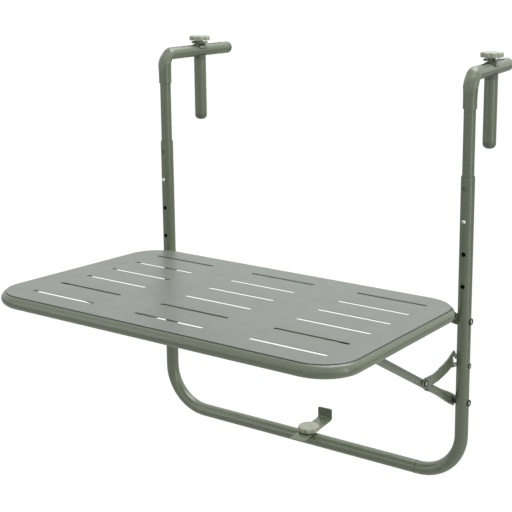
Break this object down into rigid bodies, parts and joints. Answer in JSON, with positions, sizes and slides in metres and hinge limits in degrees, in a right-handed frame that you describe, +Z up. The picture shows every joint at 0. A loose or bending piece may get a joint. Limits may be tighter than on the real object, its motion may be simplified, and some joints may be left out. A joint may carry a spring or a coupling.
{
  "type": "balcony railing bar table",
  "caption": "Folding balcony bar table: tubular frame with height-adjustable hook arms and screw clamps for a railing, slit metal top with a tube rim, bent-tube support with latch strips.",
  "frame": {"origin": "midway between the two hook arms, on the line through the leg axes, level with the undersides of the arms, where the table hangs on the rail", "axes": "+Z up, +Y from the legs back over the railing, +X to the right seen from the sitting side; the table top points along -Y"},
  "size_m": [0.602, 0.5728, 0.6675],
  "materials": {
    "frame_paint": "olive-grey powder coat, fine texture",
    "top_paint": "olive-grey powder coat, fine texture",
    "zinc_steel": "zinc plated",
    "spring_steel": "bare spring steel",
    "button_chrome": "polished nickel",
    "cap_plastic": "moulded, olive-grey",
    "knob_plastic": "moulded, pale grey-green",
    "black_plastic": "moulded, black"
  },
  "bodies": {
    "frame": {"frame_long_tube": "frame_paint", "frame_right_leg": "frame_paint", "hinge_rivets": "zinc_steel", "support_rivets": "zinc_steel", "latch_pins": "zinc_steel", "support_spacers": "black_plastic", "bar_nut": "zinc_steel"},
    "hook_arm_left": {"hook_left": "frame_paint", "inner_tube_left": "frame_paint", "arm_cap_left": "cap_plastic", "snap_spring_left": "spring_steel"},
    "hook_arm_right": {"hook_right": "frame_paint", "inner_tube_right": "frame_paint", "arm_cap_right": "cap_plastic", "snap_spring_right": "spring_steel"},
    "button_left": {"snap_button_left": "button_chrome"},
    "button_right": {"snap_button_right": "button_chrome"},
    "clamp_left": {"clamp_tube_left": "frame_paint", "clamp_collar_left": "cap_plastic", "clamp_nut_left": "zinc_steel", "clamp_cap_left": "cap_plastic", "clamp_saddle_left": "frame_paint", "clamp_plate_left": "frame_paint"},
    "clamp_right": {"clamp_tube_right": "frame_paint", "clamp_collar_right": "cap_plastic", "clamp_nut_right": "zinc_steel", "clamp_cap_right": "cap_plastic", "clamp_saddle_right": "frame_paint", "clamp_plate_right": "frame_paint"},
    "clamp_screw_left": {"clamp_knob_left": "knob_plastic", "clamp_bolt_left": "zinc_steel"},
    "clamp_screw_right": {"clamp_knob_right": "knob_plastic", "clamp_bolt_right": "zinc_steel"},
    "table": {"table_rim": "frame_paint", "table_sheet": "top_paint", "hinge_bracket_left": "frame_paint", "hinge_bracket_right": "frame_paint"},
    "support": {"support_frame": "frame_paint", "latch_rivets": "zinc_steel", "latch_stops": "frame_paint"},
    "latch_left": {"latch_strip_left": "frame_paint"},
    "latch_right": {"latch_strip_right": "frame_paint"},
    "steady": {"steady_strip": "frame_paint"},
    "bar_screw": {"bar_knob": "knob_plastic", "bar_bolt": "zinc_steel"}
  },
  "joints": [
    {"name": "table_fold", "type": "hinge", "parent": "frame", "child": "table", "pos_m": [0, 0, -0.3633], "axis": [1, 0, 0], "range_deg": [0, 70]},
    {"name": "support_fold", "type": "hinge", "parent": "frame", "child": "support", "pos_m": [0, 0, -0.4938], "axis": [1, 0, 0], "range_deg": [0, 88.5]},
    {"name": "latch_lift_left", "type": "hinge", "parent": "support", "child": "latch_left", "pos_m": [-0.2754, -0.11315, -0.42581], "axis": [1, 0, 0], "range_deg": [-2.5, 0.4]},
    {"name": "latch_lift_right", "type": "hinge", "parent": "support", "child": "latch_right", "pos_m": [0.2754, -0.11315, -0.42581], "axis": [1, 0, 0], "range_deg": [-2.5, 0.4]},
    {"name": "height_left", "type": "slide", "parent": "frame", "child": "hook_arm_left", "axis": [0, 0, 1], "range_m": [-0.1, 0.05], "deforming": ["snap_button_left"]},
    {"name": "height_right", "type": "slide", "parent": "frame", "child": "hook_arm_right", "axis": [0, 0, 1], "range_m": [-0.1, 0.05], "deforming": ["snap_button_right"]},
    {"name": "snap_press_left", "type": "slide", "parent": "hook_arm_left", "child": "button_left", "axis": [0, 1, 0], "range_m": [0, 0.0042], "stiffness_N_per_m": 1500, "springref_m": -0.002, "deforming": ["snap_spring_left"]},
    {"name": "snap_press_right", "type": "slide", "parent": "hook_arm_right", "child": "button_right", "axis": [0, 1, 0], "range_m": [0, 0.0042], "stiffness_N_per_m": 1500, "springref_m": -0.002, "deforming": ["snap_spring_right"]},
    {"name": "clamp_slide_left", "type": "slide", "parent": "hook_arm_left", "child": "clamp_left", "axis": [0.0628, 0.998, 0], "range_m": [-0.045, 0.051]},
    {"name": "clamp_slide_right", "type": "slide", "parent": "hook_arm_right", "child": "clamp_right", "axis": [-0.0628, 0.998, 0], "range_m": [-0.045, 0.051]},
    {"name": "clamp_knob_turn_left", "type": "hinge", "parent": "clamp_left", "child": "clamp_screw_left", "pos_m": [-0.27885, 0.08982, 0], "axis": [0, 0, 1], "continuous": true},
    {"name": "clamp_knob_turn_right", "type": "hinge", "parent": "clamp_right", "child": "clamp_screw_right", "pos_m": [0.27885, 0.08982, 0], "axis": [0, 0, 1], "continuous": true},
    {"name": "steady_swivel", "type": "hinge", "parent": "frame", "child": "steady", "pos_m": [0.0052, 0, -0.6091], "axis": [0, 0, 1], "range_deg": [-90, 90]},
    {"name": "bar_knob_turn", "type": "hinge", "parent": "frame", "child": "bar_screw", "pos_m": [0.0052, 0, -0.6091], "axis": [0, 0, 1], "continuous": true}
  ],
  "couplings": [
    {"joint": "support_fold", "follows": "table_fold", "ratio": 1.26}
  ]
}
